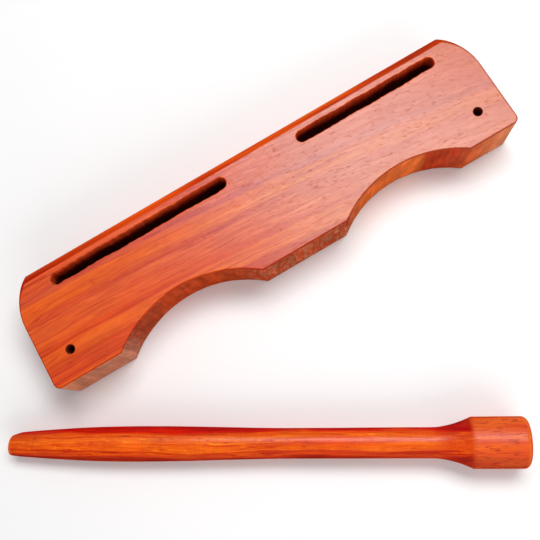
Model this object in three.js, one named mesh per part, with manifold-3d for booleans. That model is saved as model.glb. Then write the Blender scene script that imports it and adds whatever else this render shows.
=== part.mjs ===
// Two-tone slotted wooden sounding board and its turned beater.
//
// Millimetres, +Z up. The board lies flat on its back face, with the origin at that face's centre,
// +X along its length and +Y towards its slotted long edge. The beater lies in front of the feet.
import * as THREE from "three";
import { mergeVertices } from "three/addons/utils/BufferGeometryUtils.js";
import Module from "manifold-3d";

const wasm = await Module();
wasm.setup();

// Board: a plank with two rounded upper corners and three feet left between two hollowed arches.
const BOARD_LENGTH = 452;
const BOARD_WIDTH = 102;
const BOARD_THICKNESS = 52;
const FOOT_CORNER_RADIUS = 5.5;

// Upper corners: ellipses that run out of the ends and are cut off, at a corner, by the slotted edge.
const UPPER_CORNER_RADIUS = new THREE.Vector2(32.5, 45);
const UPPER_CORNER_DROP = 41;

// Rounding of the plank's two faces into its edges: widest along the slotted edge. It leaves the
// faces at a slight crease.
const ROUNDING_DEPTH = 4;
const TOP_ROUNDING = 6;
const END_ROUNDING = 1.2;
const ROUNDING_CREASE = THREE.MathUtils.degToRad(22);
const ROUNDING_STEPS = 4;

// Sawn arches, each slightly deeper at the back face than at the front.
const ARCHES = [
  { centre: -95.5, span: 137, frontDepth: 24.7, backDepth: 25.3 },
  { centre: 116.2, span: 121.5, frontDepth: 19.7, backDepth: 21.2 },
];

// Through slots, which free a thin bar of wood along the edge; each length gives its own tone.
const SLOT_WIDTH = 10.8;
const SLOT_TO_EDGE = 11.2;
const SLOTS = [
  { centre: -102, length: 173 },
  { centre: 124.8, length: 138 },
];

// Through holes for a carrying cord, near the two outer feet.
const CORD_HOLE_DIAMETER = 7.5;
const CORD_HOLE_SPACING = 400;
const CORD_HOLE_HEIGHT = 25;

// Beater: distances run along its axis from the tip of the grip.
const BEATER_LENGTH = 439.4;
const TIP_RADIUS = 9.6;
const TIP_ROUNDING = 1.2;
const BELLY_AT = 113;
const BELLY_RADIUS = 14.9;
const SWELL_POWER = 2;
const WAIST_AT = 253;
const WAIST_RADIUS = 12.6;
const FLARE_AT = 362;
const FLARE_POWER = 1.8;
const HEAD_AT = 394;
const HEAD_RADIUS = 21;
const HEAD_END_ROUNDING = 5;
const HEAD_END_RISE = 0.4;

// The beater lies askew, with the tip of its grip near the left foot.
const BEATER_TIP_X = -292.7;
const BEATER_TIP_Y = -64;
const BEATER_ANGLE = THREE.MathUtils.degToRad(-29.6);

const CORNER_STEPS = 12;
const FOOT_CORNER_STEPS = 5;
const ARCH_STEPS = 22;
const HOLE_STEPS = 24;
const TURNED_STEPS = 48;
const CUT_CLEARANCE = 1;

const HALF_LENGTH = BOARD_LENGTH / 2;
const HALF_WIDTH = BOARD_WIDTH / 2;

function wood(name, colour, roughness) {
  const material = new THREE.MeshStandardMaterial({ color: colour, roughness, metalness: 0 });
  material.name = name;
  return material;
}

function solidOf(geometry) {
  const bare = geometry.clone();
  bare.deleteAttribute("normal");
  bare.deleteAttribute("uv");
  const merged = mergeVertices(bare);
  const mesh = new wasm.Mesh({
    numProp: 3,
    vertProperties: new Float32Array(merged.attributes.position.array),
    triVerts: new Uint32Array(merged.index.array),
  });
  return new wasm.Manifold(mesh);
}

function geometryOf(solid) {
  const mesh = solid.getMesh();
  const geometry = new THREE.BufferGeometry();
  geometry.setAttribute("position", new THREE.BufferAttribute(mesh.vertProperties, mesh.numProp));
  geometry.setIndex(new THREE.BufferAttribute(mesh.triVerts, 1));
  return geometry;
}

function arc(centre, radius, fromAngle, toAngle, steps) {
  const points = [];
  for (let step = 0; step <= steps; step += 1) {
    const angle = THREE.MathUtils.lerp(fromAngle, toAngle, step / steps);
    const offset = new THREE.Vector2(radius.x * Math.cos(angle), radius.y * Math.sin(angle));
    points.push(offset.add(centre));
  }
  return points;
}

function archPoints({ centre, span, frontDepth, backDepth }, height) {
  const depth = THREE.MathUtils.lerp(backDepth, frontDepth, height / BOARD_THICKNESS);
  const radius = ((span / 2) ** 2 + depth ** 2) / (2 * depth);
  const halfAngle = Math.asin(span / 2 / radius);
  const middle = new THREE.Vector2(centre, -HALF_WIDTH + depth - radius);
  const round = new THREE.Vector2(radius, radius);
  return arc(middle, round, Math.PI / 2 + halfAngle, Math.PI / 2 - halfAngle, ARCH_STEPS);
}

// The board's outline at a height above its back face, anticlockwise from its lower left corner.
// The inset, from 0 to 1, pulls in the slotted edge and the ends by their share of the rounding.
function boardOutline(height, inset) {
  const topInset = TOP_ROUNDING * inset;
  const endInset = END_ROUNDING * inset;
  const footX = HALF_LENGTH - FOOT_CORNER_RADIUS;
  const footY = -HALF_WIDTH + FOOT_CORNER_RADIUS;
  const footRadius = new THREE.Vector2(FOOT_CORNER_RADIUS - endInset, FOOT_CORNER_RADIUS);
  const upperX = HALF_LENGTH - UPPER_CORNER_RADIUS.x;
  const upperY = HALF_WIDTH - UPPER_CORNER_DROP;
  const upperRadius = UPPER_CORNER_RADIUS.clone().sub(new THREE.Vector2(endInset, topInset));
  const edgeAngle = Math.asin((UPPER_CORNER_DROP - topInset) / upperRadius.y);
  const quarter = Math.PI / 2;
  return [
    ...arc(new THREE.Vector2(-footX, footY), footRadius, 2 * quarter, 3 * quarter, FOOT_CORNER_STEPS),
    ...ARCHES.flatMap((arch) => archPoints(arch, height)),
    ...arc(new THREE.Vector2(footX, footY), footRadius, -quarter, 0, FOOT_CORNER_STEPS),
    ...arc(new THREE.Vector2(upperX, upperY), upperRadius, 0, edgeAngle, CORNER_STEPS),
    ...arc(new THREE.Vector2(-upperX, upperY), upperRadius, Math.PI - edgeAngle, Math.PI, CORNER_STEPS),
  ];
}

// The outlines that the board's skin runs through, from its back face up to its front face.
function boardLayers() {
  const back = [];
  for (let step = 0; step <= ROUNDING_STEPS; step += 1) {
    const angle = THREE.MathUtils.lerp(ROUNDING_CREASE, Math.PI / 2, step / ROUNDING_STEPS);
    const height = ROUNDING_DEPTH * (1 - Math.cos(angle) / Math.cos(ROUNDING_CREASE));
    back.push({ height, inset: (1 - Math.sin(angle)) / (1 - Math.sin(ROUNDING_CREASE)) });
  }
  const front = back.map(({ height, inset }) => ({ height: BOARD_THICKNESS - height, inset }));
  const levels = [...back, ...front.reverse()];
  return levels.map(({ height, inset }) => ({ height, points: boardOutline(height, inset) }));
}

function loft(layers) {
  const ringSize = layers[0].points.length;
  const positions = [];
  for (const { height, points } of layers) {
    points.forEach(({ x, y }) => positions.push(x, y, height));
  }
  const triangles = [];
  for (let layer = 0; layer < layers.length - 1; layer += 1) {
    for (let index = 0; index < ringSize; index += 1) {
      const low = layer * ringSize + index;
      const nextLow = layer * ringSize + ((index + 1) % ringSize);
      const high = low + ringSize;
      const nextHigh = nextLow + ringSize;
      triangles.push(low, nextLow, nextHigh, low, nextHigh, high);
    }
  }
  const topLayer = layers.length - 1;
  for (const [a, b, c] of THREE.ShapeUtils.triangulateShape(layers[0].points, [])) {
    triangles.push(a, c, b);
  }
  for (const face of THREE.ShapeUtils.triangulateShape(layers[topLayer].points, [])) {
    triangles.push(...face.map((index) => topLayer * ringSize + index));
  }
  const geometry = new THREE.BufferGeometry();
  geometry.setAttribute("position", new THREE.Float32BufferAttribute(positions, 3));
  geometry.setIndex(triangles);
  return geometry;
}

// A round-ended prism that runs past both faces of the board; with no length it is a round hole.
function throughCut(centreX, centreY, width, length) {
  const radius = new THREE.Vector2(width / 2, width / 2);
  const endX = (length - width) / 2;
  const rightEnd = new THREE.Vector2(centreX + endX, centreY);
  const leftEnd = new THREE.Vector2(centreX - endX, centreY);
  const outline = [
    ...arc(rightEnd, radius, -Math.PI / 2, Math.PI / 2, HOLE_STEPS / 2),
    ...arc(leftEnd, radius, Math.PI / 2, (3 * Math.PI) / 2, HOLE_STEPS / 2),
  ];
  const distinct = outline.filter((point, index) => point.distanceTo(outline.at(index - 1)) > 1e-6);
  const depth = BOARD_THICKNESS + 2 * CUT_CLEARANCE;
  const cut = new THREE.ExtrudeGeometry(new THREE.Shape(distinct), { depth, bevelEnabled: false });
  return solidOf(cut.translate(0, 0, -CUT_CLEARANCE));
}

function boardGeometry() {
  const slotY = HALF_WIDTH - SLOT_TO_EDGE - SLOT_WIDTH / 2;
  const holeX = CORD_HOLE_SPACING / 2;
  const holeY = -HALF_WIDTH + CORD_HOLE_HEIGHT;
  const cuts = [
    ...SLOTS.map(({ centre, length }) => throughCut(centre, slotY, SLOT_WIDTH, length)),
    ...[-holeX, holeX].map((x) => throughCut(x, holeY, CORD_HOLE_DIAMETER, CORD_HOLE_DIAMETER)),
  ];
  const board = cuts.reduce((solid, cut) => solid.subtract(cut), solidOf(loft(boardLayers())));
  return geometryOf(board);
}

// The beater's radius at a distance along its grip, shaft and flare, up to the head.
function shaftRadius(distance) {
  if (distance < BELLY_AT) {
    const towardsTip = 1 - distance / BELLY_AT;
    return BELLY_RADIUS - (BELLY_RADIUS - TIP_RADIUS) * towardsTip ** SWELL_POWER;
  }
  if (distance < WAIST_AT) {
    const blend = (1 - Math.cos((Math.PI * (distance - BELLY_AT)) / (WAIST_AT - BELLY_AT))) / 2;
    return THREE.MathUtils.lerp(BELLY_RADIUS, WAIST_RADIUS, blend);
  }
  const towardsHead = Math.max(0, (distance - FLARE_AT) / (HEAD_AT - FLARE_AT));
  return WAIST_RADIUS + (HEAD_RADIUS - WAIST_RADIUS) * towardsHead ** FLARE_POWER;
}

// Points of radius and distance along the axis, from the middle of the tip to the middle of the head's end.
function beaterProfile() {
  const point = (radius, distance) => new THREE.Vector2(radius, distance);
  const along = (from, to, steps) =>
    Array.from({ length: steps }, (_, step) => THREE.MathUtils.lerp(from, to, step / steps))
      .map((distance) => point(shaftRadius(distance), distance));
  const tipCentre = point(shaftRadius(TIP_ROUNDING) - TIP_ROUNDING, TIP_ROUNDING);
  const endRounding = point(HEAD_END_ROUNDING, HEAD_END_ROUNDING);
  const endCentre = point(HEAD_RADIUS, BEATER_LENGTH - HEAD_END_RISE).sub(endRounding);
  return [
    point(0, 0),
    ...arc(tipCentre, point(TIP_ROUNDING, TIP_ROUNDING), -Math.PI / 2, 0, 3).slice(0, -1),
    ...along(TIP_ROUNDING, BELLY_AT, 9),
    ...along(BELLY_AT, WAIST_AT, 10),
    point(WAIST_RADIUS, WAIST_AT),
    ...along(FLARE_AT, HEAD_AT, 9),
    point(HEAD_RADIUS, HEAD_AT),
    ...arc(endCentre, endRounding, 0, Math.PI / 2, 6),
    point(0, BEATER_LENGTH),
  ];
}

// At rest the beater touches the ground at the belly of its grip and at the lower rim of its head.
function restingTilt(profile) {
  const belly = profile.filter(({ y }) => y < WAIST_AT);
  const slopes = belly.map(({ x, y }) => (HEAD_RADIUS - x) / (HEAD_AT - y));
  return Math.atan(Math.min(...slopes));
}

const soundingBoard = new THREE.Mesh(boardGeometry(), wood("board_wood", 0xd8653a, 0.42));
soundingBoard.name = "sounding_board";

const profile = beaterProfile();
const tilt = restingTilt(profile);
const turned = new THREE.LatheGeometry(profile, TURNED_STEPS);
const beater = new THREE.Mesh(turned, wood("beater_wood", 0xc4421f, 0.34));
beater.name = "beater";
beater.rotation.x = tilt;
beater.position.z = HEAD_RADIUS * Math.cos(tilt) - HEAD_AT * Math.sin(tilt);

const beaterPlace = new THREE.Group();
beaterPlace.position.set(BEATER_TIP_X, BEATER_TIP_Y, 0);
beaterPlace.rotation.z = BEATER_ANGLE - Math.PI / 2;
beaterPlace.add(beater);

const object = new THREE.Group();
object.add(soundingBoard, beaterPlace);

export default object;
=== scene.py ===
"""Looks of the two-tone slotted sounding board and its turned beater.

Metres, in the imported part's own frame: the board lies on its back face at z = 0, +X runs along it,
+Y points to its slotted edge, and the beater lies in front of its feet.
"""
import math

import bmesh
import bpy
from mathutils import Matrix, Vector, noise
from mathutils.geometry import delaunay_2d_cdt


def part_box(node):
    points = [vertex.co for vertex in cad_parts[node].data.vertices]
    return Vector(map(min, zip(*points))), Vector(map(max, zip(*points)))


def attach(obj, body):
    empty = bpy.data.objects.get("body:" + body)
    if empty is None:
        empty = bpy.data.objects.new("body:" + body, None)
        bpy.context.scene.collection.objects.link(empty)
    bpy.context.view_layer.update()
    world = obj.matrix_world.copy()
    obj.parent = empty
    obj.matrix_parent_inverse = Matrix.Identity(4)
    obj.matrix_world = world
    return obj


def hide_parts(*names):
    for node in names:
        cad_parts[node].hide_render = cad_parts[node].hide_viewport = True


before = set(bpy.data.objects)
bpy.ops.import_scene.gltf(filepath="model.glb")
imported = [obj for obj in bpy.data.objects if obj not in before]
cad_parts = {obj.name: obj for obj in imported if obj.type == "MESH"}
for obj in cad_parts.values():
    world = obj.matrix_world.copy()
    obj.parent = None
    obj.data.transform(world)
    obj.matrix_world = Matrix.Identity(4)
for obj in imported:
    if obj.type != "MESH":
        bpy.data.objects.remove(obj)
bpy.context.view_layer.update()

BOARD_HIGH = Vector(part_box("sounding_board")[1])
HALF_LENGTH = BOARD_HIGH.x
HALF_WIDTH = BOARD_HIGH.y
THICKNESS = BOARD_HIGH.z

# Board: its upper corners are ellipses that run out of the ends and are cut off, at a corner, by
# the slotted edge. That edge is rounded over generously, the ends and feet only eased.
UPPER_CORNER = (0.0325, 0.045)
UPPER_CORNER_DROP = 0.041
FOOT_CORNER = 0.0055
ROUNDING_DEPTH = 0.004
TOP_ROUNDING = 0.006
END_ROUNDING = 0.0012
ROUNDING_CREASE = math.radians(22)
ARRIS_EASING = 0.0011
MOUTH_EASING = 0.0006
SUPPORT_STRIP = 0.0005
BOARD_SHARP_ANGLE = math.radians(32)

# Arches: centre, span, depth at the front face and depth at the back face.
ARCHES = [
    (-0.0955, 0.137, 0.0247, 0.0253),
    (0.1162, 0.1215, 0.0197, 0.0212),
]
SAW_WANDER = 0.00022
SAW_WANDER_LENGTH = 0.011
SAW_WANDER_SLANT = 0.35
ARCH_END_FADE = 12

# Slots: centre and length. Their walls keep the waves of the row of drilled holes.
SLOTS = [(-0.102, 0.173), (0.1248, 0.138)]
SLOT_WIDTH = 0.0108
SLOT_Y = HALF_WIDTH - 0.0112 - SLOT_WIDTH / 2
DRILL_PITCH = 0.0081
CUSP_HEIGHT = 0.0004
CUSP_MEAN = 0.3
WALL_WANDER = 0.0010
WALL_WANDER_LENGTH = 0.019
WALL_NOISE_OFFSET = 3.7
SLOT_END_FADE = 0.2

CORD_HOLE_RADIUS = 0.00375
CORD_HOLE_X = 0.2
CORD_HOLE_Y = -HALF_WIDTH + 0.025

# Beater: distances along its axis from the tip of the grip, and radii there.
BEATER_LENGTH = 0.4394
TIP_RADIUS = 0.0096
TIP_ROUNDING = 0.0007
TIP_END_HOLLOW = 0.0004
BELLY_AT = 0.113
BELLY_RADIUS = 0.0149
WAIST_AT = 0.253
WAIST_RADIUS = 0.0126
FLARE_AT = 0.362
FLARE_POWER = 1.8
HEAD_AT = 0.394
HEAD_RADIUS = 0.021
HEAD_END_ROUNDING = 0.005
HEAD_END_RISE = 0.0004
BEATER_SHARP_ANGLE = math.radians(50)

# The beater's tip is cut slightly askew, worn thinner and chipped on one side.
TIP_SKEW = math.tan(math.radians(6))
TIP_CHIP_DEPTH = 0.0015
TIP_CHIP_LENGTH = 0.0075
TIP_TAPER_DEPTH = 0.0002
TIP_TAPER_LENGTH = 0.006
HAND_TURNED_WANDER = 0.00012
HAND_TURNED_LENGTH = 0.03
HAND_TURNED_ROUND = 0.8

# Where the beater's tip lies, and how far its axis is turned from the board's length.
BEATER_TIP = Vector((-0.2927, -0.064, 0.0))
BEATER_ANGLE = math.radians(-29.6)

# How finely the shapes are divided. The rings of the board's edge lie at these depths below a face,
# and the middles of the beater's ends at these shares of their radius.
FOOT_CORNER_STEPS = 10
LEFT_FOOT_STEPS = 24
CENTRE_FOOT_STEPS = 32
RIGHT_FOOT_STEPS = 18
ARCH_STEPS = 72
BOARD_END_STEPS = 10
UPPER_CORNER_STEPS = 28
SLOTTED_EDGE_STEPS = 60
SLOT_STEP_LENGTH = 0.0012
SLOT_END_STEPS = 20
CORD_HOLE_STEPS = 40
ROUNDING_DEPTHS = [0.0, 0.0001, 0.0003, 0.0006, 0.0009, 0.0013, 0.0018, 0.0024, 0.0032, ROUNDING_DEPTH]
SIDE_LAYERS = 12
MERGE_DISTANCE = 1e-7
TURNED_STEPS = 112
TIP_END_SHARES = (0.1, 0.35, 0.6, 0.8, 0.92)
TIP_ARC_STEPS = 7
SHAFT_STEPS = 120
HEAD_STEPS = 14
RIM_ARC_STEPS = 14
HEAD_END_SHARES = (0.88, 0.7, 0.5, 0.3, 0.1)
CONTACT_STEPS = 200


# ---------------------------------------------------------------- mesh helpers

def arc(centre, radius, start, end, steps):
    """Points along part of an ellipse, both ends included."""
    angles = (start + (end - start) * step / steps for step in range(steps + 1))
    x, y = centre
    wide, high = radius
    return [Vector((x + wide * math.cos(a), y + high * math.sin(a))) for a in angles]


def straight(start, end, steps):
    """Points along a line, both ends left out."""
    return [start.lerp(end, step / steps) for step in range(1, steps)]


def rounding_left(depth, rounding_depth, crease=0.0):
    """The share of an edge's rounding that is left at a depth below the face, from 1 to 0. With a
    crease, the rounding starts at that angle instead of flowing out of the face."""
    reach = min(depth / rounding_depth, 1.0)
    turn = math.acos((1.0 - reach) * math.cos(crease))
    return (1.0 - math.sin(turn)) / (1.0 - math.sin(crease))


def bridge(mesh, low_ring, high_ring, material_of):
    """Quads between two closed rings of the same number of vertices."""
    count = len(low_ring)
    for index in range(count):
        following = (index + 1) % count
        corners = (low_ring[index], low_ring[following], high_ring[following], high_ring[index])
        face = mesh.faces.new(corners)
        face.material_index = material_of(index)


def finished_piece(mesh, name, materials, sharp_angle):
    """Turns a bmesh into an object with smooth shading that breaks at edges over the sharp angle."""
    bmesh.ops.recalc_face_normals(mesh, faces=mesh.faces)
    for face in mesh.faces:
        face.smooth = True
    for edge in mesh.edges:
        if edge.is_manifold and edge.calc_face_angle() > sharp_angle:
            edge.smooth = False
    data = bpy.data.meshes.new(name)
    mesh.to_mesh(data)
    mesh.free()
    for material in materials:
        data.materials.append(material)
    piece = bpy.data.objects.new(name, data)
    bpy.context.scene.collection.objects.link(piece)
    return piece


# ---------------------------------------------------------------- the board's shape

FACE_WOOD, SAWN_WOOD, SLOT_WOOD = range(3)


def arch_points(arch, height, easing):
    """One arch from left to right at a height above the back face, with the saw's small wander."""
    centre, span, front_depth, back_depth = arch
    depth = back_depth + (front_depth - back_depth) * height / THICKNESS
    radius = ((span / 2) ** 2 + depth ** 2) / (2 * depth)
    middle = Vector((centre, -HALF_WIDTH + depth - radius))
    eased_radius = radius + easing
    half_angle = math.acos((radius - depth + easing) / eased_radius)
    points = []
    for step in range(ARCH_STEPS + 1):
        share = step / ARCH_STEPS
        angle = math.pi / 2 + half_angle * (1 - 2 * share)
        place = Vector((centre + span * share, height * SAW_WANDER_SLANT, span)) / SAW_WANDER_LENGTH
        fade = min(1.0, ARCH_END_FADE * share, ARCH_END_FADE * (1 - share))
        wander = SAW_WANDER * fade * noise.noise(place)
        direction = Vector((math.cos(angle), math.sin(angle)))
        points.append(middle + direction * (eased_radius + wander))
    return points


def board_ring(height, inset=0.0):
    """The board's outline at a height, anticlockwise from its lower left corner, and how many of
    its points belong to the feet and arches."""
    depth = min(height, THICKNESS - height)
    rounding = rounding_left(depth, ROUNDING_DEPTH, ROUNDING_CREASE)
    top = TOP_ROUNDING * rounding + inset
    end = END_ROUNDING * rounding_left(depth, END_ROUNDING) + inset
    easing = ARRIS_EASING * rounding_left(depth, ARRIS_EASING) + inset
    foot_x = HALF_LENGTH - FOOT_CORNER
    foot_y = -HALF_WIDTH + FOOT_CORNER
    foot_radius = (FOOT_CORNER - end, FOOT_CORNER - easing)
    upper_x = HALF_LENGTH - UPPER_CORNER[0]
    upper_y = HALF_WIDTH - UPPER_CORNER_DROP
    upper_radius = (UPPER_CORNER[0] - end, UPPER_CORNER[1] - top)
    edge_angle = math.asin((UPPER_CORNER_DROP - top) / upper_radius[1])
    quarter = math.pi / 2
    left_arch, right_arch = (arch_points(arch, height, easing) for arch in ARCHES)
    left_foot = arc((-foot_x, foot_y), foot_radius, 2 * quarter, 3 * quarter, FOOT_CORNER_STEPS)
    right_foot = arc((foot_x, foot_y), foot_radius, -quarter, 0, FOOT_CORNER_STEPS)
    lower = left_foot + straight(left_foot[-1], left_arch[0], LEFT_FOOT_STEPS) + left_arch
    lower += straight(left_arch[-1], right_arch[0], CENTRE_FOOT_STEPS) + right_arch
    lower += straight(right_arch[-1], right_foot[0], RIGHT_FOOT_STEPS) + right_foot
    steps = UPPER_CORNER_STEPS
    upper_right = arc((upper_x, upper_y), upper_radius, 0, edge_angle, steps)
    upper_left = arc((-upper_x, upper_y), upper_radius, math.pi - edge_angle, math.pi, steps)
    upper = straight(right_foot[-1], upper_right[0], BOARD_END_STEPS) + upper_right
    upper += straight(upper_right[-1], upper_left[0], SLOTTED_EDGE_STEPS) + upper_left
    upper += straight(upper_left[-1], left_foot[0], BOARD_END_STEPS)
    return lower + upper, len(lower)


def slot_wall_offset(x, side):
    """How far a slot's wall stands in from its straight line: cusps between holes, and wander."""
    cusp = 1.0 - abs(math.sin(math.pi * x / DRILL_PITCH))
    place = Vector((x / WALL_WANDER_LENGTH, side * WALL_NOISE_OFFSET, 0.0))
    return CUSP_HEIGHT * (cusp ** 2 - CUSP_MEAN) + WALL_WANDER * noise.noise(place)


def slot_ring(centre, length, height, inset=0.0):
    """A slot's outline at a height, anticlockwise, widened at its mouths."""
    depth = min(height, THICKNESS - height)
    widening = MOUTH_EASING * rounding_left(depth, MOUTH_EASING) + inset
    radius = SLOT_WIDTH / 2 + widening
    reach = (length - SLOT_WIDTH) / 2
    steps = round(reach * 2 / SLOT_STEP_LENGTH)
    points = []
    for side in (-1, 1):
        for step in range(1, steps):
            x = centre - side * reach * (2 * step / steps - 1)
            fade = min(1.0, SLOT_END_FADE * step, SLOT_END_FADE * (steps - step))
            y = SLOT_Y + side * (radius - fade * slot_wall_offset(x, side))
            points.append(Vector((x, y)))
        start = side * math.pi / 2
        end_centre = (centre - side * reach, SLOT_Y)
        points += arc(end_centre, (radius, radius), start, start + math.pi, SLOT_END_STEPS)
    return points


def cord_hole_ring(x, height, inset=0.0):
    """A cord hole's outline at a height, widened at its mouths."""
    depth = min(height, THICKNESS - height)
    radius = CORD_HOLE_RADIUS + MOUTH_EASING * rounding_left(depth, MOUTH_EASING) + inset
    return arc((x, CORD_HOLE_Y), (radius, radius), 0, 2 * math.pi, CORD_HOLE_STEPS)[:-1]


def opening_rings(height, inset=0.0):
    """The outlines of both slots and both cord holes at a height."""
    rings = [slot_ring(centre, length, height, inset) for centre, length in SLOTS]
    rings += [cord_hole_ring(x, height, inset) for x in (-CORD_HOLE_X, CORD_HOLE_X)]
    return rings


def inside(point, ring):
    """Whether a point lies inside a closed ring."""
    crossings = 0
    for start, end in zip(ring, ring[1:] + ring[:1]):
        if (start.y > point.y) != (end.y > point.y):
            crossing_x = start.x + (point.y - start.y) * (end.x - start.x) / (end.y - start.y)
            crossings += point.x < crossing_x
    return crossings % 2 == 1


def fill_face(mesh, rings, vertex_rings):
    """Triangles that fill a flat face between its outline, the first ring, and its openings."""
    points = [point for ring in rings for point in ring]
    vertices = [vertex for ring in vertex_rings for vertex in ring]
    edges = []
    start = 0
    for ring in rings:
        count = len(ring)
        edges += [(start + index, start + (index + 1) % count) for index in range(count)]
        start += count
    found, _, triangles, originals, _, _ = delaunay_2d_cdt(points, edges, [], 1, MERGE_DISTANCE)
    for triangle in triangles:
        middle = sum((found[index] for index in triangle), Vector((0, 0))) / 3
        if any(inside(middle, ring) for ring in rings[1:]):
            continue
        face = mesh.faces.new([vertices[originals[index][0]] for index in triangle])
        face.material_index = FACE_WOOD


def board_heights():
    """Heights of the rings: close together where the edges round, further apart between."""
    plain = THICKNESS - 2 * ROUNDING_DEPTH
    middle = [ROUNDING_DEPTH + plain * step / SIDE_LAYERS for step in range(1, SIDE_LAYERS)]
    return ROUNDING_DEPTHS + middle + [THICKNESS - depth for depth in reversed(ROUNDING_DEPTHS)]


def make_board(materials):
    """The board: rings at each height, bridged up its edge and through its openings, and two faces
    filled between them."""
    mesh = bmesh.new()
    heights = board_heights()
    layers = [(heights[0], SUPPORT_STRIP)] + [(height, 0.0) for height in heights]
    layers.append((heights[-1], SUPPORT_STRIP))
    layer_rings = []
    layer_vertices = []
    lower_count = 0
    for height, inset in layers:
        outline, lower_count = board_ring(height, inset)
        rings = [outline] + opening_rings(height, inset)
        layer_rings.append(rings)
        layer_vertices.append([[mesh.verts.new((p.x, p.y, height)) for p in ring] for ring in rings])

    last_gap = len(layers) - 2
    for gap, (low, high) in enumerate(zip(layer_vertices, layer_vertices[1:])):
        on_face = gap in (0, last_gap)
        middle = (layers[gap][0] + layers[gap + 1][0]) / 2
        below_arris = min(middle, THICKNESS - middle) > ARRIS_EASING
        sawn_count = lower_count if below_arris else 0
        for number, (low_ring, high_ring) in enumerate(zip(low, high)):
            if on_face:
                bridge(mesh, low_ring, high_ring, lambda _: FACE_WOOD)
            elif number == 0:
                bridge(mesh, low_ring, high_ring, lambda i: SAWN_WOOD if i < sawn_count else FACE_WOOD)
            else:
                bridge(mesh, low_ring, high_ring, lambda _: SLOT_WOOD)
    fill_face(mesh, layer_rings[0], layer_vertices[0])
    fill_face(mesh, layer_rings[-1], layer_vertices[-1])
    return finished_piece(mesh, "sounding_board_wood", materials, BOARD_SHARP_ANGLE)


# ---------------------------------------------------------------- the beater's shape

def shaft_radius(distance):
    """The beater's radius along its grip, shaft and flare, up to the head."""
    if distance < BELLY_AT:
        return BELLY_RADIUS - (BELLY_RADIUS - TIP_RADIUS) * (1 - distance / BELLY_AT) ** 2
    if distance < WAIST_AT:
        blend = (1 - math.cos(math.pi * (distance - BELLY_AT) / (WAIST_AT - BELLY_AT))) / 2
        return BELLY_RADIUS + (WAIST_RADIUS - BELLY_RADIUS) * blend
    towards_head = max(0.0, (distance - FLARE_AT) / (HEAD_AT - FLARE_AT))
    return WAIST_RADIUS + (HEAD_RADIUS - WAIST_RADIUS) * towards_head ** FLARE_POWER


def beater_profile():
    """Pairs of distance and radius from just off the tip's middle to just off the head end's."""
    edge = shaft_radius(TIP_ROUNDING) - TIP_ROUNDING
    profile = [(TIP_END_HOLLOW * (1 - share ** 2), edge * share) for share in TIP_END_SHARES]
    tip = arc((TIP_ROUNDING, edge), (TIP_ROUNDING, TIP_ROUNDING), math.pi, math.pi / 2, TIP_ARC_STEPS)
    profile += [(point.x, point.y) for point in tip]
    for step in range(1, SHAFT_STEPS + 1):
        distance = TIP_ROUNDING + (HEAD_AT - TIP_ROUNDING) * step / SHAFT_STEPS
        profile.append((distance, shaft_radius(distance)))
    rim = HEAD_END_ROUNDING
    end_centre = (BEATER_LENGTH - HEAD_END_RISE - rim, HEAD_RADIUS - rim)
    for step in range(1, HEAD_STEPS):
        distance = HEAD_AT + (end_centre[0] - HEAD_AT) * step / HEAD_STEPS
        profile.append((distance, HEAD_RADIUS))
    end_arc = arc(end_centre, (rim, rim), math.pi / 2, 0, RIM_ARC_STEPS)
    profile += [(point.x, point.y) for point in end_arc]
    for share in HEAD_END_SHARES:
        rise = HEAD_END_RISE * (1 - share ** 2)
        profile.append((BEATER_LENGTH - HEAD_END_RISE + rise, end_centre[1] * share))
    return profile


def beater_placement():
    """The beater's frame: its local +X runs from the tip to the head. It touches the ground at the
    belly of its grip and at the lower rim of its head."""
    distances = [WAIST_AT * step / CONTACT_STEPS for step in range(CONTACT_STEPS)]
    slope = min((HEAD_RADIUS - shaft_radius(d)) / (HEAD_AT - d) for d in distances)
    tilt = math.atan(slope)
    lift = HEAD_RADIUS * math.cos(tilt) - HEAD_AT * math.sin(tilt)
    place = Matrix.Translation(BEATER_TIP + Vector((0, 0, lift)))
    return place @ Matrix.Rotation(BEATER_ANGLE, 4, "Z") @ Matrix.Rotation(-tilt, 4, "Y")


def worn_away(distance, side):
    """How much radius wear has taken off the tip: a little all round, and a corner knocked off on
    one side. The side runs from -1 to 1."""
    corner = max(0.0, 1 - distance / TIP_CHIP_LENGTH) * max(0.0, side) ** 2
    taper = max(0.0, 1 - distance / TIP_TAPER_LENGTH)
    return TIP_CHIP_DEPTH * corner + TIP_TAPER_DEPTH * taper


def make_beater(material, placement):
    """The beater: its profile turned about its axis, slightly out of round and askew at the tip."""
    mesh = bmesh.new()
    rings = []
    for distance, radius in beater_profile():
        ring = []
        for step in range(TURNED_STEPS):
            angle = 2 * math.pi * step / TURNED_STEPS
            around = Vector((0, math.cos(angle), math.sin(angle)))
            turned = (around.y * HAND_TURNED_ROUND, around.z * HAND_TURNED_ROUND)
            place = Vector((distance / HAND_TURNED_LENGTH, *turned))
            wander = HAND_TURNED_WANDER * noise.noise(place) * min(1.0, radius / WAIST_RADIUS)
            local_radius = radius + wander - worn_away(distance, around.y) * radius / TIP_RADIUS
            fade = max(0.0, 1 - distance / (2 * TIP_RADIUS))
            askew = TIP_SKEW * fade * local_radius * around.y
            local = Vector((distance + askew, 0, 0)) + around * local_radius
            ring.append(mesh.verts.new(placement @ local))
        rings.append(ring)
    for low_ring, high_ring in zip(rings, rings[1:]):
        bridge(mesh, low_ring, high_ring, lambda _: 0)
    for ring, distance in ((rings[0], TIP_END_HOLLOW), (rings[-1], BEATER_LENGTH)):
        middle = mesh.verts.new(placement @ Vector((distance, 0, 0)))
        for index, vertex in enumerate(ring):
            mesh.faces.new((vertex, ring[(index + 1) % TURNED_STEPS], middle))
    return finished_piece(mesh, "beater_wood_turned", [material], BEATER_SHARP_ANGLE)


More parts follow.
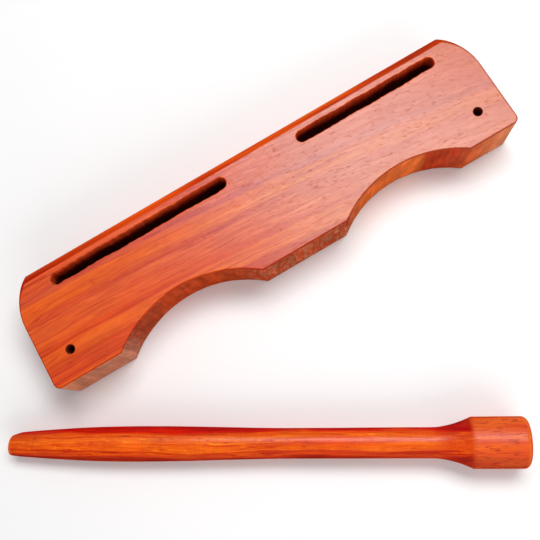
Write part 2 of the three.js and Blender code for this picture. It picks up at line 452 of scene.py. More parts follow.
# ---------------------------------------------------------------- colours and grain

# Tones are 8-bit sRGB. Growth bands: distance across the grain and tone. On the board orange and red
# wood alternate, with one purplish streak near the slots. The beater's bands are partly painted shade:
# its far side is painted deep red and its near side dark, where its round turns from the light.
BOARD_BANDS = [
    (-0.0540, (224, 92, 40)),
    (-0.0475, (222, 88, 40)),
    (-0.0460, (200, 58, 28)),
    (-0.0440, (216, 78, 40)),
    (-0.0350, (210, 74, 38)),
    (-0.0320, (226, 96, 40)),
    (-0.0215, (226, 94, 38)),
    (-0.0185, (214, 72, 32)),
    (-0.0120, (221, 88, 42)),
    (0.0040, (221, 93, 54)),
    (0.0075, (208, 74, 46)),
    (0.0140, (228, 101, 40)),
    (0.0220, (227, 96, 40)),
    (0.0280, (202, 80, 70)),
    (0.0320, (218, 87, 54)),
    (0.0950, (220, 88, 50)),
]
# The beater's bands hold painted shade: deep red on its far side and dark on its near side.
BEATER_BANDS_AND_SHADE = [
    (-0.0210, (170, 44, 2)),
    (-0.0165, (205, 60, 4)),
    (-0.0140, (205, 50, 2)),
    (-0.0115, (168, 26, 0)),
    (-0.0090, (214, 54, 0)),
    (-0.0070, (230, 76, 2)),
    (-0.0055, (200, 40, 0)),
    (-0.0040, (236, 86, 4)),
    (0.0000, (240, 94, 10)),
    (0.0060, (240, 98, 14)),
    (0.0090, (232, 84, 8)),
    (0.0108, (216, 28, 0)),
    (0.0130, (204, 8, 0)),
    (0.0170, (200, 14, 0)),
    (0.0190, (208, 52, 2)),
    (0.0210, (206, 50, 2)),
]

# The sawn edge in broad zones, from the board's left end to its right end: distance along the
# board and tone. The patches inside a zone come from noise. The zones are partly painted light: pale
# reflections of the floor on the feet, and a lit facet and a shaded one at the right arch.
PALE_FOOT_REFLECTION = (204, 136, 100)
DEEP_ARCH = (180, 57, 8)
BROWN_FOOT = (170, 62, 22)
LIT_FACET_ARCH = (216, 104, 40)
SHADED_END = (170, 46, 8)
SAWN_TONE_AND_LIGHT_ZONES = [
    (-0.2250, PALE_FOOT_REFLECTION),
    (-0.1620, (180, 116, 92)),
    (-0.1500, (150, 60, 30)),
    (-0.1150, DEEP_ARCH),
    (-0.0650, DEEP_ARCH),
    (-0.0300, BROWN_FOOT),
    (0.0550, BROWN_FOOT),
    (0.0850, LIT_FACET_ARCH),
    (0.1400, LIT_FACET_ARCH),
    (0.1450, SHADED_END),
    (0.1680, SHADED_END),
    (0.1850, (206, 94, 42)),
    (0.2250, (212, 136, 92)),
]

# Tones laid over the wood, and the share that each one takes where it is strongest.
# Painted sheen: the pale tone laid over the face's right half.
PAINTED_SHEEN_TONE = (196, 104, 74)
PAINTED_SHEEN_SHARE = 0.45
# Partly painted light: the saturated orange of the slotted edge's rounding, which the sheen misses.
SLOTTED_EDGE_NO_SHEEN_TONE = (246, 92, 10)
SLOTTED_EDGE_NO_SHEEN_SHARE = 0.55
SAWN_ZONE_SHARE = 0.88
# Painted reflection of the pale floor, in patches on the sawn edge.
FLOOR_REFLECTION_TONE = (184, 132, 100)
FLOOR_REFLECTION_SHARE = 0.48
FLOOR_REFLECTION_SHARE_AT_RIGHT = 0.25 * FLOOR_REFLECTION_SHARE
HEAD_TONE = (232, 88, 6)
HEAD_SHARES = (0.4, 0.85)
# Worn pale at the beater's tip; a painted highlight round the rim of its head.
WORN_AND_HIGHLIGHT_TONE = (226, 110, 32)
WORN_TIP_SHARE = 0.6
RIM_HIGHLIGHT_SHARE = 0.45

# Tints that multiply a colour. First those of the grain: of its lines and of its fibres, each from
# dark to light, then of its pores and of its flecks.
BOARD_TINTS = (
    ((0.89, 0.73, 0.75), (1.04, 1.12, 1.10)),
    ((0.88, 0.76, 0.76), (1.06, 1.14, 1.12)),
    (0.90, 0.82, 0.86),
    (1.03, 1.10, 1.12),
)
BEATER_TINTS = (
    ((0.84, 0.50, 0.5), (1.08, 1.40, 1.4)),
    ((0.86, 0.66, 0.6), (1.08, 1.25, 1.3)),
    (0.66, 0.45, 0.7),
    (1.10, 1.65, 2.0),
)
NO_TINT = (1, 1, 1)
HAIR_TINT = (0.84, 0.62, 0.70)
# Painted sheen: the left end deeper, where the sheen misses, and the right half paler and pinker.
LEFT_END_NO_SHEEN_TINT = (1.02, 0.96, 0.50)
RIGHT_HALF_SHEEN_TINT = (0.79, 1.08, 1.12)
# Partly painted light: the slotted edge's rounding without the sheen's paleness.
EDGE_NO_SHEEN_TINT = (1.10, 0.60, 0.04)
EDGE_STREAK_TINTS = ((0.62, 0.34, 0.6), (1.06, 1.25, 1.3))
EDGE_END_TINT = (0.72, 0.50, 0.8)
EDGE_LINE_TINT = (0.80, 0.66, 0.7)
END_TINT = (0.72, 0.45, 0.30)
BORED_TINT = (1.0, 0.85, 0.4)
FLARE_TINT = (0.90, 0.68, 0.6)
HEAD_PORE_TINT = (0.68, 0.46, 0.56)

# Shades that multiply a colour's lightness, from a noise's low values to its high ones.
MOTTLE_SHADES = (0.95, 1.04)
# Painted light: the sawn edge faces away from the window and is lightened by this much.
SAWN_PAINTED_LIGHT = 1.15
SAW_MARK_SHADES = (0.84 * SAWN_PAINTED_LIGHT, 1.12 * SAWN_PAINTED_LIGHT)
SAWN_CLOUD_SHADES = (0.8, 1.12)
DRILL_SCORE_SHADES = (0.75, 1.15)
TURNING_SHADES = (0.96, 1.03)
# Painted shade: how dark the cord holes are, and how dark the openings are deep inside.
CORD_HOLE_SHADE = 0.3
DEEP_PAINTED_SHADE = 0.15

# Noise scales per metre: along the grain, across it and into the wood.
LINE_SCALE = (5.0, 420.0, 70.0)
FIBRE_SCALE = (20.0, 850.0, 200.0)
HAIR_SCALE = (8.0, 750.0, 150.0)
MOTTLE_SCALE = (30.0, 45.0, 40.0)
PORE_SCALE = (130.0, 1300.0, 400.0)
EDGE_STREAK_SCALE = (7.0, 160.0, 330.0)
HEAD_STREAK_SCALE = (12.0, 420.0, 100.0)
HEAD_PORE_SCALE = (100.0, 900.0, 300.0)

# Noise scales per metre along, across and up a piece.
BOARD_WAVE_SCALE = (7.0, 16.0, 16.0)
BOARD_FEATHER_SCALE = (22.0, 260.0, 60.0)
BEATER_WAVE_SCALE = (9.0, 14.0, 14.0)
BEATER_FEATHER_SCALE = (16.0, 300.0, 60.0)
ZONE_SHIFT_SCALE = (60.0, 60.0, 30.0)
FLOOR_REFLECTION_SCALE = (260.0, 260.0, 85.0)
SAW_MARK_SCALE = (520.0, 260.0, 9.0)
SAWN_CLOUD_SCALE = (110.0, 110.0, 45.0)
DRILL_SCORE_SCALE = (420.0, 300.0, 30.0)
SHADE_EDGE_WANDER_SCALE = (70.0, 40.0, 20.0)
TURNING_SCALE = (900.0, 18.0, 18.0)

# Between which values of a noise its effect comes in. Most of a noise lies from 0.3 to 0.7. Where
# the first value is the higher one, the effect comes in as the noise falls.
WHOLE_NOISE = (0.3, 0.7)
GRAIN_CONTRAST = (0.32, 0.68)
HAIR_CONTRAST = (0.55, 0.66)
PORE_CONTRAST = (0.64, 0.74)
FLECK_CONTRAST = (0.38, 0.28)
EDGE_STREAK_CONTRAST = (0.36, 0.62)
FLOOR_REFLECTION_CONTRAST = (0.44, 0.60)
SAWN_CLOUD_CONTRAST = (0.35, 0.68)
HEAD_STREAK_CONTRAST = (0.35, 0.65)
HEAD_PORE_CONTRAST = (0.57, 0.63)
FIBRE_GLOSS_CONTRAST = (0.25, 0.75)

# How far noise moves the grain, the sawn zones and the edge of the painted shade inside the
# openings, and how the grain runs.
GRAIN_SWAY = 0.008
BEATER_FEATHER_SWAY = 0.010
ZONE_SHIFT = 0.010
SHADE_EDGE_WANDER = 0.012
GRAIN_BEND = 0.38
# The grain's drift and the tip's spread also place the painted shade of the beater's far side.
BEATER_GRAIN_AND_SHADE_DRIFT = 0.004
TIP_GRAIN_AND_SHADE_SPREAD = 0.35

# Places in metres between which a colour changes: along the board, across it, or along the beater.
# The painted sheen changes along the face between these places.
LEFT_END_NO_SHEEN_FADE = (-0.22, -0.02)
RIGHT_HALF_SHEEN_FADE = (-0.10, 0.10)
PAINTED_SHEEN_FADE = (-0.04, 0.18)
EDGE_END_FADE = (0.08, 0.17)
# The painted floor reflection on the sawn edge fades down here, towards the right arch.
FLOOR_REFLECTION_FADE = (0.06, 0.08)
NEAR_FOOT_FADE = (-0.047, -0.036)
FAR_FROM_FOOT_SHARE = 0.2
CORD_HOLE_FADE = (-0.01, 0.01)
HEAD_TONE_FADE = (-0.010, 0.008)
HEAD_FADE = (HEAD_AT - 0.004, HEAD_AT + 0.001)
FLARE_FADE = (FLARE_AT - 0.004, FLARE_AT + 0.014)
WORN_TIP_FADE = (0.0005, 0.0030)
# The painted highlight round the beater head's rim lies here.
RIM_HIGHLIGHT_FADE = (0.0005, 0.0022)
RIM_HIGHLIGHT_SETBACK = 0.0030
# Painted shade inside the openings starts this deep below each mouth, over this fade.
UNSHADED_MOUTH = 0.012
MOUTH_SHADE_FADE = (-0.006, 0.004)

# The slotted edge's orange starts a little inside its rounding; it is partly painted light, the
# saturated orange of a rounding that the face's sheen misses. The rounding, and the dark line
# where it starts, are found by how far the surface has turned: by the size of its normal's Z. The
# side that the slots are on is found by the normal's Y.
EDGE_BAND_WIDTH = 0.0070
ROUNDED_NORMAL = (0.935, 0.995)
LINE_NORMAL = (0.89, 0.94)
SLOTTED_NORMAL = (0.0, 0.3)

# Roughness from a noise's low values to its high ones, and specular levels.
FACE_ROUGHNESS = (0.33, 0.26)
SAWN_ROUGHNESS = (0.48, 0.6)
BORED_ROUGHNESS = (0.6, 0.75)
BEATER_ROUGHNESS = (0.34, 0.27)
HEAD_ROUGHNESS_RISE = 0.13
FACE_GLOSS = 0.47
ROUNDED_GLOSS_DROP = 0.35
FACE_RIM_GLOSS = 0.1
SAWN_GLOSS = 0.25
SAWN_RIM_GLOSS = 0.05
BORED_GLOSS = 0.2
BEATER_GLOSS = 0.32
HEAD_GLOSS_RISE = 0.18
BEATER_RIM_GLOSS = 0.02
RIM_FACING = (0.25, 0.85)

# Depth of the relief, and what each mark adds to it.
BUMP_STRENGTH = 0.4
LACQUERED_BUMP = 0.0002
BARE_BUMP = 0.0003
PORE_RELIEF = -0.8
FIBRE_RELIEF = 0.5
TOOL_RELIEF = 1.5
TURNING_RELIEF = 0.3


# ---------------------------------------------------------------- materials

class Nodes:
    """A material's node tree, with short ways to add the nodes that the woods use."""

    def __init__(self, name):
        self.material = bpy.data.materials.new(name)
        self.material.use_nodes = True
        self.tree = self.material.node_tree
        self.shader = self.tree.nodes["Principled BSDF"]

    def add(self, kind, inputs=(), **settings):
        """A new node with its inputs linked or set."""
        node = self.tree.nodes.new("ShaderNode" + kind)
        for key, value in settings.items():
            setattr(node, key, value)
        for key, value in dict(inputs).items():
            self.set(node.inputs[key], value)
        return node

    def set(self, socket, value):
        if isinstance(value, bpy.types.NodeSocket):
            self.tree.links.new(value, socket)
        else:
            socket.default_value = value

    def split(self, vector):
        """A vector's X, Y and Z."""
        return self.add("SeparateXYZ", {0: vector}).outputs

    def math(self, operation, first, second=0.0, third=0.0, use_clamp=False):
        inputs = {0: first, 1: second, 2: third}
        return self.add("Math", inputs, operation=operation, use_clamp=use_clamp).outputs[0]

    def centred(self, value, width):
        """A noise as a distance, half of it either side of nothing."""
        return self.math("MULTIPLY_ADD", value, width, -width / 2)

    def noise(self, vector, scale=(1.0, 1.0, 1.0), detail=2.0, roughness=0.5):
        """Noise whose scale differs along the vector's three axes."""
        place = self.add("VectorMath", {0: vector, 1: scale}, operation="MULTIPLY").outputs[0]
        inputs = {"Vector": place, "Scale": 1.0, "Detail": detail, "Roughness": roughness}
        return self.add("TexNoise", inputs).outputs["Fac"]

    def smooth(self, value, low, high, to_low=0.0, to_high=1.0):
        """A value that eases from one number to another as the value given goes from low to high."""
        inputs = {"Value": value, "From Min": low, "From Max": high}
        inputs.update({"To Min": to_low, "To Max": to_high})
        return self.add("MapRange", inputs, interpolation_type="SMOOTHSTEP").outputs[0]

    def ramp(self, value, stops):
        """A colour ramp over stops of position and colour."""
        node = self.add("ValToRGB", {"Fac": value})
        elements = node.color_ramp.elements
        for element, (position, colour) in zip(elements, (stops[0], stops[-1])):
            element.position = position
            element.color = colour
        for position, colour in stops[1:-1]:
            elements.new(position).color = colour
        return node.outputs["Color"]

    def banded(self, place, bands):
        """The tones of bands laid out over a place in metres."""
        low = bands[0][0]
        high = bands[-1][0]
        share = self.add("MapRange", {"Value": place, "From Min": low, "From Max": high}).outputs[0]
        return self.ramp(share, [((stop - low) / (high - low), srgb(tone)) for stop, tone in bands])

    def mix(self, factor, first, second, blend="MIX"):
        node = self.add("Mix", data_type="RGBA", blend_type=blend)
        colours = [socket for socket in node.inputs if socket.type == "RGBA"]
        self.set(node.inputs["Factor"], factor)
        self.set(colours[0], first)
        self.set(colours[1], second)
        return next(socket for socket in node.outputs if socket.type == "RGBA")

    def times(self, colour, tint):
        """The colour times a tint that is the same all over."""
        return self.mix(1.0, colour, (*tint, 1), "MULTIPLY")

    def shade(self, colour, amount):
        """The colour times a grey value."""
        grey = self.add("CombineColor", {0: amount, 1: amount, 2: amount}).outputs[0]
        return self.mix(1.0, colour, grey, "MULTIPLY")

    def tinted(self, colour, amount, dark, light):
        """The colour times a tint that runs from dark to light as the amount runs from 0 to 1."""
        return self.mix(1.0, colour, self.mix(amount, (*dark, 1), (*light, 1)), "MULTIPLY")

    def set_gloss(self, face_level, rim_level):
        """The lacquer's specular level, which falls off where the surface turns away."""
        facing = self.add("LayerWeight", {"Blend": 0.5}).outputs["Facing"]
        level = self.smooth(facing, *RIM_FACING, face_level, rim_level)
        self.set(self.shader.inputs["Specular IOR Level"], level)

    def finish(self, colour, roughness, height, bump_depth):
        """Joins up the shader and gives the finished material."""
        inputs = {"Height": height, "Strength": BUMP_STRENGTH, "Distance": bump_depth}
        self.set(self.shader.inputs["Base Color"], colour)
        self.set(self.shader.inputs["Roughness"], roughness)
        self.set(self.shader.inputs["Normal"], self.add("Bump", inputs).outputs[0])
        return self.material


def srgb(tone):
    """An 8-bit sRGB tone as the linear colour that the nodes use."""
    def linear(value):
        share = value / 255
        return share / 12.92 if share <= 0.04045 else ((share + 0.055) / 1.055) ** 2.4
    return (*(linear(value) for value in tone), 1)


def object_space(nodes, place=(0.0, 0.0, 0.0), turn=(0.0, 0.0, 0.0)):
    """Object coordinates, moved and turned with a piece that lies askew."""
    coordinate = nodes.add("TexCoord").outputs["Object"]
    inputs = {"Vector": coordinate, "Location": place, "Rotation": turn}
    return nodes.add("Mapping", inputs, vector_type="TEXTURE").outputs[0]


def grain_sway(nodes, space, wave_scale, feather_scale, feather_sway):
    """How far the grain strays sideways: in slow waves, feathered finely."""
    wave = nodes.centred(nodes.noise(space, wave_scale, detail=1.0), GRAIN_SWAY)
    feather = nodes.centred(nodes.noise(space, feather_scale, detail=3.0), feather_sway)
    return nodes.math("ADD", wave, feather)


def curved_grain(nodes, space):
    """The board's grain: level at its left end and bending down towards its right end. Like
    straight_grain, it gives places along the grain, across it and into the wood."""
    x, y, z = nodes.split(space)
    from_end = nodes.math("ADD", x, HALF_LENGTH)
    drop = nodes.math("MULTIPLY", nodes.math("MULTIPLY", from_end, from_end), GRAIN_BEND / 2)
    sway = grain_sway(nodes, space, BOARD_WAVE_SCALE, BOARD_FEATHER_SCALE, GRAIN_SWAY)
    return x, nodes.math("ADD", nodes.math("ADD", y, drop), sway), z


def straight_grain(nodes, space):
    """The beater's grain, which follows the taper of the grip and drifts a little across the shaft
    on its way to the head. The taper and drift also place the painted shade on its far side."""
    x, y, z = nodes.split(space)
    towards_tip = nodes.math("MULTIPLY_ADD", x, -1.0 / BELLY_AT, 1.0, use_clamp=True)
    taper = nodes.math("MULTIPLY", towards_tip, towards_tip)
    spread = nodes.math("MULTIPLY_ADD", taper, TIP_GRAIN_AND_SHADE_SPREAD, 1.0)
    sway = grain_sway(nodes, space, BEATER_WAVE_SCALE, BEATER_FEATHER_SCALE, BEATER_FEATHER_SWAY)
    drift = nodes.math("MULTIPLY_ADD", x, BEATER_GRAIN_AND_SHADE_DRIFT, sway)
    return x, nodes.math("MULTIPLY_ADD", y, spread, drift), z


def grown_wood(nodes, grain, bands, tints):
    """Colour of the growth bands with finer lines, fibres, hairs, light flecks and short dark pores,
    the height of the fibres and pores, the fibres, and the grain's space for more noise."""
    lines_tint, fibres_tint, pore_tint, fleck_tint = tints
    along, across, depth = grain
    wood = nodes.add("CombineXYZ", {0: along, 1: across, 2: depth}).outputs[0]
    colour = nodes.banded(across, bands)
    lines = nodes.noise(wood, LINE_SCALE, detail=4.0, roughness=0.6)
    colour = nodes.tinted(colour, nodes.smooth(lines, *GRAIN_CONTRAST), *lines_tint)
    fibres = nodes.noise(wood, FIBRE_SCALE, detail=3.0, roughness=0.6)
    colour = nodes.tinted(colour, nodes.smooth(fibres, *GRAIN_CONTRAST), *fibres_tint)
    hairs = nodes.noise(wood, HAIR_SCALE)
    colour = nodes.tinted(colour, nodes.smooth(hairs, *HAIR_CONTRAST), NO_TINT, HAIR_TINT)
    mottle = nodes.noise(wood, MOTTLE_SCALE, detail=3.0)
    colour = nodes.shade(colour, nodes.smooth(mottle, *WHOLE_NOISE, *MOTTLE_SHADES))
    pores = nodes.noise(wood, PORE_SCALE, detail=1.0)
    pore_mask = nodes.smooth(pores, *PORE_CONTRAST)
    colour = nodes.tinted(colour, pore_mask, NO_TINT, pore_tint)
    colour = nodes.tinted(colour, nodes.smooth(pores, *FLECK_CONTRAST), NO_TINT, fleck_tint)
    fibre_height = nodes.math("MULTIPLY", fibres, FIBRE_RELIEF)
    height = nodes.math("MULTIPLY_ADD", pore_mask, PORE_RELIEF, fibre_height)
    return colour, height, fibres, wood


def painted_sheen_along_face(nodes, colour, along):
    """Painted sheen along the face: deeper and warmer at its left end, which the sheen misses,
    and paler over its right half, where the window's sheen falls.
    """
    colour = nodes.tinted(colour, nodes.smooth(along, *LEFT_END_NO_SHEEN_FADE), LEFT_END_NO_SHEEN_TINT, NO_TINT)
    colour = nodes.tinted(colour, nodes.smooth(along, *RIGHT_HALF_SHEEN_FADE), NO_TINT, RIGHT_HALF_SHEEN_TINT)
    return nodes.mix(nodes.smooth(along, *PAINTED_SHEEN_FADE, 0.0, PAINTED_SHEEN_SHARE), colour, srgb(PAINTED_SHEEN_TONE))


def rounded_edges(nodes, colour, along, wood, space):
    """The colour with that of the rounded edges laid over it, and a mask of where they are. On the
    slotted edge the colour is partly painted light: the saturated orange of a rounding out of the sheen.
    """
    normal = nodes.split(nodes.add("TexCoord").outputs["Normal"])
    upright = nodes.math("ABSOLUTE", normal[2])
    rounded = nodes.smooth(upright, *ROUNDED_NORMAL, 1.0, 0.0)
    up_to_edge = nodes.split(space)[1]
    edge_band = nodes.smooth(up_to_edge, HALF_WIDTH - EDGE_BAND_WIDTH, HALF_WIDTH - TOP_ROUNDING)
    rounded = nodes.math("MAXIMUM", rounded, edge_band)
    towards_slots = nodes.math("MAXIMUM", edge_band, nodes.smooth(normal[1], *SLOTTED_NORMAL))
    edge_tint = nodes.mix(towards_slots, (*END_TINT, 1), (*EDGE_NO_SHEEN_TINT, 1))
    colour = nodes.mix(rounded, colour, nodes.mix(1.0, colour, edge_tint, "MULTIPLY"))
    slotted = nodes.math("MULTIPLY", rounded, towards_slots)
    streaks = nodes.smooth(nodes.noise(wood, EDGE_STREAK_SCALE, detail=4.0), *EDGE_STREAK_CONTRAST)
    orange = nodes.tinted(srgb(SLOTTED_EDGE_NO_SHEEN_TONE), streaks, *EDGE_STREAK_TINTS)
    colour = nodes.mix(nodes.math("MULTIPLY", slotted, SLOTTED_EDGE_NO_SHEEN_SHARE), colour, orange)
    near_ends = nodes.smooth(nodes.math("ABSOLUTE", along), *EDGE_END_FADE)
    end_mask = nodes.math("MULTIPLY", slotted, near_ends)
    colour = nodes.tinted(colour, end_mask, NO_TINT, EDGE_END_TINT)
    line = nodes.math("MULTIPLY", rounded, nodes.smooth(upright, *LINE_NORMAL))
    return nodes.mix(line, colour, nodes.times(colour, EDGE_LINE_TINT)), rounded


def board_face_wood():
    """Planed and lacquered face, with painted sheen that grows towards its right half. The rounded
    slotted edge is a streaky orange, partly painted light, darker towards its ends and with a slightly
    darker line where the rounding starts. The board's ends are browner."""
    nodes = Nodes("board_face_lacquered")
    space = object_space(nodes)
    grain = curved_grain(nodes, space)
    colour, height, fibres, wood = grown_wood(nodes, grain, BOARD_BANDS, BOARD_TINTS)
    colour = painted_sheen_along_face(nodes, colour, grain[0])
    colour, rounded = rounded_edges(nodes, colour, grain[0], wood, space)
    roughness = nodes.smooth(fibres, *FIBRE_GLOSS_CONTRAST, *FACE_ROUGHNESS)
    nodes.set_gloss(nodes.math("MULTIPLY_ADD", rounded, -ROUNDED_GLOSS_DROP, FACE_GLOSS), FACE_RIM_GLOSS)
    return nodes.finish(colour, roughness, height, LACQUERED_BUMP)


def painted_floor_reflections(nodes, colour, along, space):
    """Painted reflection of the pale floor, in patches on the sawn edge: strongest by the feet, and
    faint from the right arch on.
    """
    reflection_noise = nodes.noise(space, FLOOR_REFLECTION_SCALE, detail=5.0, roughness=0.65)
    amount = nodes.smooth(along, *FLOOR_REFLECTION_FADE, FLOOR_REFLECTION_SHARE, FLOOR_REFLECTION_SHARE_AT_RIGHT)
    near_foot = nodes.smooth(nodes.split(space)[1], *NEAR_FOOT_FADE, 1.0, FAR_FROM_FOOT_SHARE)
    amount = nodes.math("MULTIPLY", amount, near_foot)
    mask = nodes.math("MULTIPLY", nodes.smooth(reflection_noise, *FLOOR_REFLECTION_CONTRAST), amount)
    return nodes.mix(mask, colour, srgb(FLOOR_REFLECTION_TONE))


def board_sawn_wood():
    """Sawn edge of the feet and arches: browner, patchy along its length, marked by the saw. Painted
    light lightens it all over, and its zones hold painted floor reflections and lit and shaded facets.
    """
    nodes = Nodes("board_edge_sawn")
    space = object_space(nodes)
    grain = curved_grain(nodes, space)
    colour, height, _, _ = grown_wood(nodes, grain, BOARD_BANDS, BOARD_TINTS)
    shift = nodes.centred(nodes.noise(space, ZONE_SHIFT_SCALE, detail=3.0), ZONE_SHIFT)
    along = nodes.math("ADD", nodes.split(space)[0], shift)
    # Painted light in the zones: floor reflections on the feet, lit and shaded facets at the right arch.
    colour = nodes.mix(SAWN_ZONE_SHARE, colour, nodes.banded(along, SAWN_TONE_AND_LIGHT_ZONES))
    colour = painted_floor_reflections(nodes, colour, along, space)
    marks = nodes.noise(space, SAW_MARK_SCALE, detail=3.0, roughness=0.6)
    colour = nodes.shade(colour, nodes.smooth(marks, *WHOLE_NOISE, *SAW_MARK_SHADES))
    cloud = nodes.noise(space, SAWN_CLOUD_SCALE, detail=3.0)
    colour = nodes.shade(colour, nodes.smooth(cloud, *SAWN_CLOUD_CONTRAST, *SAWN_CLOUD_SHADES))
    height = nodes.math("MULTIPLY_ADD", marks, TOOL_RELIEF, height)
    roughness = nodes.smooth(marks, *WHOLE_NOISE, *SAWN_ROUGHNESS)
    nodes.set_gloss(SAWN_GLOSS, SAWN_RIM_GLOSS)
    return nodes.finish(colour, roughness, height, BARE_BUMP)


def painted_shade_inside(nodes, colour, height_up, space):
    """The colour of an opening's wall with painted shade: it darkens deeper than a band at each
    mouth, along a wavy line.
    """
    from_middle = nodes.math("ABSOLUTE", nodes.math("ADD", height_up, -THICKNESS / 2))
    runs = nodes.centred(nodes.noise(space, SHADE_EDGE_WANDER_SCALE, detail=3.0), SHADE_EDGE_WANDER)
    reach = nodes.math("ADD", from_middle, runs)
    low, high = (THICKNESS / 2 - UNSHADED_MOUTH + fade for fade in MOUTH_SHADE_FADE)
    return nodes.shade(colour, nodes.smooth(reach, low, high, DEEP_PAINTED_SHADE, 1.0))


def board_bored_wood():
    """Inside of the slots and cord holes: unpolished deep red wood, scored by the drill. Painted shade
    makes the cord holes darker than the slots, and darkens both away from their mouths."""
    nodes = Nodes("board_slot_bored")
    space = object_space(nodes)
    grain = curved_grain(nodes, space)
    colour, height, _, _ = grown_wood(nodes, grain, BOARD_BANDS, BOARD_TINTS)
    colour = nodes.times(colour, BORED_TINT)
    scores = nodes.noise(space, DRILL_SCORE_SCALE, detail=3.0)
    colour = nodes.shade(colour, nodes.smooth(scores, *WHOLE_NOISE, *DRILL_SCORE_SHADES))
    _, y, z = nodes.split(space)
    colour = nodes.shade(colour, nodes.smooth(y, *CORD_HOLE_FADE, CORD_HOLE_SHADE, 1.0))
    colour = painted_shade_inside(nodes, colour, z, space)
    height = nodes.math("MULTIPLY_ADD", scores, TOOL_RELIEF, height)
    roughness = nodes.smooth(scores, *WHOLE_NOISE, *BORED_ROUGHNESS)
    nodes.shader.inputs["Specular IOR Level"].default_value = BORED_GLOSS
    return nodes.finish(colour, roughness, height, BARE_BUMP)


def head_wood(nodes, colour, across, on_head, wood):
    """The beater's colour with the plainer, pored wood of its head laid over it."""
    streaks = nodes.smooth(nodes.noise(wood, HEAD_STREAK_SCALE, detail=3.0), *HEAD_STREAK_CONTRAST)
    plain = nodes.tinted(srgb(HEAD_TONE), streaks, *BEATER_TINTS[0])
    plainness = nodes.math("MULTIPLY", on_head, nodes.smooth(across, *HEAD_TONE_FADE, *HEAD_SHARES))
    colour = nodes.mix(plainness, colour, plain)
    pores = nodes.smooth(nodes.noise(wood, HEAD_PORE_SCALE), *HEAD_PORE_CONTRAST)
    return nodes.tinted(colour, nodes.math("MULTIPLY", pores, on_head), NO_TINT, HEAD_PORE_TINT)


def worn_tip_and_rim_highlight(nodes, colour, along):
    """The beater's colour, worn pale at its tip, with a painted highlight round the rim of its head."""
    tip = nodes.smooth(along, *WORN_TIP_FADE, WORN_TIP_SHARE, 0.0)
    from_rim = nodes.math("ABSOLUTE", nodes.math("ADD", along, RIM_HIGHLIGHT_SETBACK - BEATER_LENGTH))
    rim = nodes.smooth(from_rim, *RIM_HIGHLIGHT_FADE, RIM_HIGHLIGHT_SHARE, 0.0)
    return nodes.mix(nodes.math("ADD", tip, rim), colour, srgb(WORN_AND_HIGHLIGHT_TONE))


def beater_material(placement):
    """Turned and lacquered beater: redder than the board, striped along its length with painted shade
    on its far and near sides, darker on its flare, plainer and rougher on its head, worn pale at its
    tip, and with a painted highlight round its head's rim."""
    nodes = Nodes("beater_turned_lacquered")
    space = object_space(nodes, placement.translation, placement.to_euler())
    grain = straight_grain(nodes, space)
    along = grain[0]
    colour, height, fibres, wood = grown_wood(nodes, grain, BEATER_BANDS_AND_SHADE, BEATER_TINTS)
    on_head = nodes.smooth(along, *HEAD_FADE)
    colour = head_wood(nodes, colour, grain[1], on_head, wood)
    flare = nodes.math("SUBTRACT", nodes.smooth(along, *FLARE_FADE), on_head)
    colour = nodes.mix(flare, colour, nodes.times(colour, FLARE_TINT))
    turning = nodes.noise(space, TURNING_SCALE)
    colour = nodes.shade(colour, nodes.smooth(turning, *WHOLE_NOISE, *TURNING_SHADES))
    colour = worn_tip_and_rim_highlight(nodes, colour, along)
    height = nodes.math("MULTIPLY_ADD", turning, TURNING_RELIEF, height)
    roughness = nodes.smooth(fibres, *FIBRE_GLOSS_CONTRAST, *BEATER_ROUGHNESS)
    roughness = nodes.math("MULTIPLY_ADD", on_head, HEAD_ROUGHNESS_RISE, roughness)
    nodes.set_gloss(nodes.math("MULTIPLY_ADD", on_head, HEAD_GLOSS_RISE, BEATER_GLOSS), BEATER_RIM_GLOSS)
    return nodes.finish(colour, roughness, height, LACQUERED_BUMP)


# ---------------------------------------------------------------- floor, light and camera

CAMERA_PLACE = Vector((-0.0387, -0.1864, 0.6662))
CAMERA_TARGET = Vector((-0.0218, -0.0539, 0.052))
CAMERA_ROLL = math.radians(-23.2)
CAMERA_LENS = 50.0
CAMERA_SENSOR = 36.0
CAMERA_CLIP_START = 0.01
FLOOR_SIZE = 12.0
FLOOR_DROP = 0.0002
FLOOR_CLOUD_SCALE = 3.0
FLOOR_GREYS = (0.90, 0.93)
FLOOR_ROUGHNESS = 0.9
FLOOR_GLOSS = 0.1
WORLD_STRENGTH = 0.33
WINDOW_LIGHT = {"place": (0.50, 0.34, 1.5), "target": (0.10, 0.0, 0.0), "size": (1.1, 0.62), "power": 20.5}
LOW_FILL = {"place": (-0.1, -1.3, 0.7), "target": (0.0, -0.1, 0.0), "size": (1.6, 0.9), "power": 9.0}


def aimed(place, target, roll=0.0):
    """A matrix at a place whose -Z axis points at the target, rolled about that axis."""
    turn = (target - place).to_track_quat("-Z", "Y").to_matrix().to_4x4()
    return Matrix.Translation(place) @ turn @ Matrix.Rotation(roll, 4, "Z")


def floor_material():
    """Pale and faintly cloudy."""
    nodes = Nodes("floor_pale")
    place = nodes.add("TexCoord").outputs["Object"]
    cloud = nodes.add("TexNoise", {"Vector": place, "Scale": FLOOR_CLOUD_SCALE, "Detail": 3.0})
    stops = [(position, (grey, grey, grey, 1)) for position, grey in zip(WHOLE_NOISE, FLOOR_GREYS)]
    nodes.set(nodes.shader.inputs["Base Color"], nodes.ramp(cloud.outputs["Fac"], stops))
    nodes.shader.inputs["Roughness"].default_value = FLOOR_ROUGHNESS
    nodes.shader.inputs["Specular IOR Level"].default_value = FLOOR_GLOSS
    return nodes.material


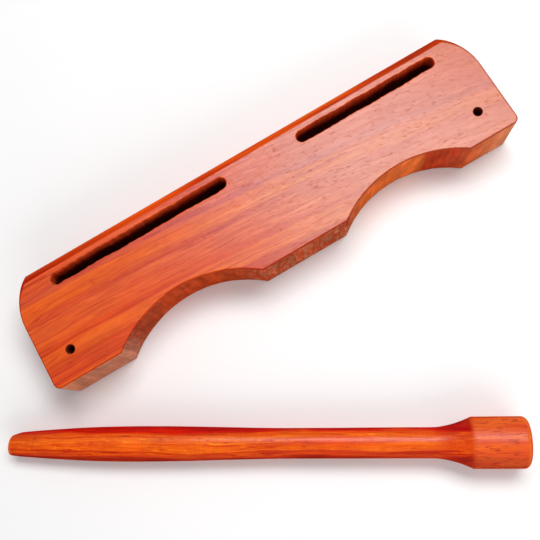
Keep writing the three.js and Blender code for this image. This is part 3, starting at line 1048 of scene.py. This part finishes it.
def make_floor():
    """The floor, hidden from reflections, which would wash out the lacquer."""
    mesh = bmesh.new()
    bmesh.ops.create_grid(mesh, x_segments=4, y_segments=4, size=FLOOR_SIZE / 2)
    data = bpy.data.meshes.new("floor")
    mesh.to_mesh(data)
    mesh.free()
    data.materials.append(floor_material())
    floor = bpy.data.objects.new("floor", data)
    floor.location.z = -FLOOR_DROP
    bpy.context.scene.collection.objects.link(floor)
    floor.visible_glossy = False


def soft_light(name, place, target, size, power):
    """A rectangular area light at a place, turned to a target."""
    data = bpy.data.lights.new(name, "AREA")
    data.shape = "RECTANGLE"
    data.size, data.size_y = size
    data.energy = power
    light = bpy.data.objects.new(name, data)
    light.matrix_world = aimed(Vector(place), Vector(target))
    bpy.context.scene.collection.objects.link(light)
    return light


def make_light():
    """A soft window above, and a plain white room and a low fill that don't show in reflections."""
    world = bpy.data.worlds.new("soft_room")
    world.use_nodes = True
    background = world.node_tree.nodes["Background"]
    background.inputs["Color"].default_value = (1, 1, 1, 1)
    background.inputs["Strength"].default_value = WORLD_STRENGTH
    bpy.context.scene.world = world
    world.cycles_visibility.glossy = False
    soft_light("window_light", **WINDOW_LIGHT)
    fill = soft_light("low_fill", **LOW_FILL)
    fill.visible_glossy = False


def make_camera():
    """The camera above the feet, rolled so that the board lies aslant."""
    data = bpy.data.cameras.new("camera")
    data.lens = CAMERA_LENS
    data.sensor_width = CAMERA_SENSOR
    data.clip_start = CAMERA_CLIP_START
    camera = bpy.data.objects.new("camera", data)
    camera.matrix_world = aimed(CAMERA_PLACE, CAMERA_TARGET, CAMERA_ROLL)
    bpy.context.scene.collection.objects.link(camera)
    bpy.context.scene.camera = camera
    bpy.context.scene.view_settings.view_transform = "Standard"


# ---------------------------------------------------------------- the scene

board = make_board([board_face_wood(), board_sawn_wood(), board_bored_wood()])
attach(board, "board")
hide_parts("sounding_board")

placement = beater_placement()
beater = make_beater(beater_material(placement), placement)
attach(beater, "beater")
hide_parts("beater")

make_floor()
make_light()
make_camera()
